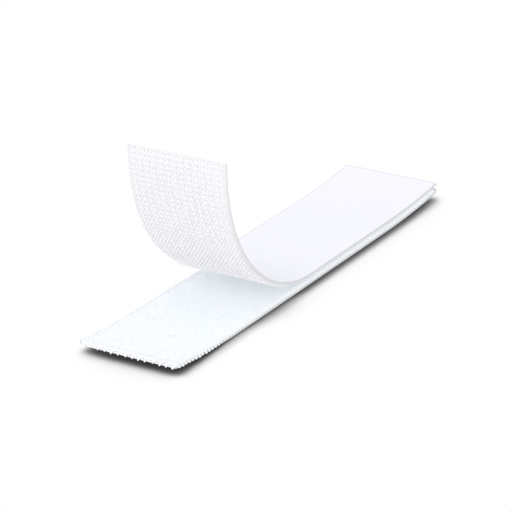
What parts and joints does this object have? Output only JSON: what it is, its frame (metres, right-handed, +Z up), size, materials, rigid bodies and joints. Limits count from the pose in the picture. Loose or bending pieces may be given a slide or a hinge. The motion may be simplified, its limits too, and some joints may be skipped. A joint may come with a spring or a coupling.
{
  "type": "hook and loop tape pair",
  "caption": "Flat hook tape closed on a flat loop tape of equal width, with the hook tape's front end peeled open and curled up.",
  "frame": {"origin": "under the middle of the loop tape, on the surface that its back lies on", "axes": "+X along the tape towards the closed far end, +Y across the tape, +Z up from the back of the loop tape"},
  "size_m": [0.12, 0.025, 0.0409],
  "materials": {
    "back_coating": "smooth white resin coating with the weave showing faintly through",
    "ground_weave": "white plain-woven polyamide tape",
    "loop_pile": "white brushed loop pile, soft and fuzzy",
    "hook_filament": "white translucent polyamide monofilament, semi-gloss"
  },
  "bodies": {
    "loop_strip": {"loop_back_coating": "back_coating", "loop_ground_tape": "ground_weave", "loop_pile": "loop_pile"},
    "hook_closed_1": {"hook_field_closed_1": "hook_filament", "hook_ground_tape_closed_1": "ground_weave", "hook_back_coating_closed_1": "back_coating"},
    "hook_closed_2": {"hook_field_closed_2": "hook_filament", "hook_ground_tape_closed_2": "ground_weave", "hook_back_coating_closed_2": "back_coating"},
    "hook_closed_3": {"hook_field_closed_3": "hook_filament", "hook_ground_tape_closed_3": "ground_weave", "hook_back_coating_closed_3": "back_coating"},
    "hook_closed_4": {"hook_field_closed_4": "hook_filament", "hook_ground_tape_closed_4": "ground_weave", "hook_back_coating_closed_4": "back_coating"},
    "hook_flap_1": {"hook_field_flap_1": "hook_filament", "hook_ground_tape_flap_1": "ground_weave", "hook_back_coating_flap_1": "back_coating"},
    "hook_flap_2": {"hook_field_flap_2": "hook_filament", "hook_ground_tape_flap_2": "ground_weave", "hook_back_coating_flap_2": "back_coating"},
    "hook_flap_3": {"hook_field_flap_3": "hook_filament", "hook_ground_tape_flap_3": "ground_weave", "hook_back_coating_flap_3": "back_coating"},
    "hook_flap_4": {"hook_field_flap_4": "hook_filament", "hook_ground_tape_flap_4": "ground_weave", "hook_back_coating_flap_4": "back_coating"},
    "hook_flap_5": {"hook_field_flap_5": "hook_filament", "hook_ground_tape_flap_5": "ground_weave", "hook_back_coating_flap_5": "back_coating"},
    "hook_flap_6": {"hook_field_flap_6": "hook_filament", "hook_ground_tape_flap_6": "ground_weave", "hook_back_coating_flap_6": "back_coating"}
  },
  "joints": [
    {"name": "lift_off", "type": "slide", "parent": "loop_strip", "child": "hook_closed_1", "axis": [0, 0, 1], "range_m": [0, 0.025]},
    {"name": "peel_back", "type": "hinge", "parent": "hook_closed_1", "child": "hook_closed_2", "pos_m": [0.0445, 0, 0.00223], "axis": [0, 1, 0], "range_deg": [0, 26]},
    {"name": "peel_back_2", "type": "hinge", "parent": "hook_closed_2", "child": "hook_closed_3", "pos_m": [0.029, 0, 0.00223], "axis": [0, 1, 0], "range_deg": [0, 26]},
    {"name": "peel_back_3", "type": "hinge", "parent": "hook_closed_3", "child": "hook_closed_4", "pos_m": [0.0135, 0, 0.00223], "axis": [0, 1, 0], "range_deg": [0, 26]},
    {"name": "flap_curl", "type": "hinge", "parent": "hook_closed_4", "child": "hook_flap_1", "pos_m": [-0.00698, 0, 0.00259], "axis": [0, 1, 0], "range_deg": [-16.56, 19.3], "stiffness_Nm_per_rad": 0.01},
    {"name": "flap_curl_2", "type": "hinge", "parent": "hook_flap_1", "child": "hook_flap_2", "pos_m": [-0.01654, 0, 0.00541], "axis": [0, 1, 0], "range_deg": [-15.58, 18.14], "stiffness_Nm_per_rad": 0.01},
    {"name": "flap_curl_3", "type": "hinge", "parent": "hook_flap_2", "child": "hook_flap_3", "pos_m": [-0.02501, 0, 0.01068], "axis": [0, 1, 0], "range_deg": [-14.5, 16.88], "stiffness_Nm_per_rad": 0.01},
    {"name": "flap_curl_4", "type": "hinge", "parent": "hook_flap_3", "child": "hook_flap_4", "pos_m": [-0.0319, 0, 0.01789], "axis": [0, 1, 0], "range_deg": [-13.42, 15.62], "stiffness_Nm_per_rad": 0.01},
    {"name": "flap_curl_5", "type": "hinge", "parent": "hook_flap_4", "child": "hook_flap_5", "pos_m": [-0.03695, 0, 0.0265], "axis": [0, 1, 0], "range_deg": [-12.33, 14.36], "stiffness_Nm_per_rad": 0.01},
    {"name": "flap_curl_6", "type": "hinge", "parent": "hook_flap_5", "child": "hook_flap_6", "pos_m": [-0.04006, 0, 0.03599], "axis": [0, 1, 0], "range_deg": [-11.25, 13.09], "stiffness_Nm_per_rad": 0.002}
  ],
  "couplings": [
    {"joint": "peel_back_2", "follows": "peel_back", "ratio": 1},
    {"joint": "peel_back_3", "follows": "peel_back", "ratio": 1},
    {"joint": "flap_curl_2", "follows": "flap_curl", "ratio": 0.93466},
    {"joint": "flap_curl_3", "follows": "flap_curl", "ratio": 0.86932},
    {"joint": "flap_curl_4", "follows": "flap_curl", "ratio": 0.80398},
    {"joint": "flap_curl_5", "follows": "flap_curl", "ratio": 0.73864},
    {"joint": "flap_curl_6", "follows": "flap_curl", "ratio": 0.67331}
  ]
}
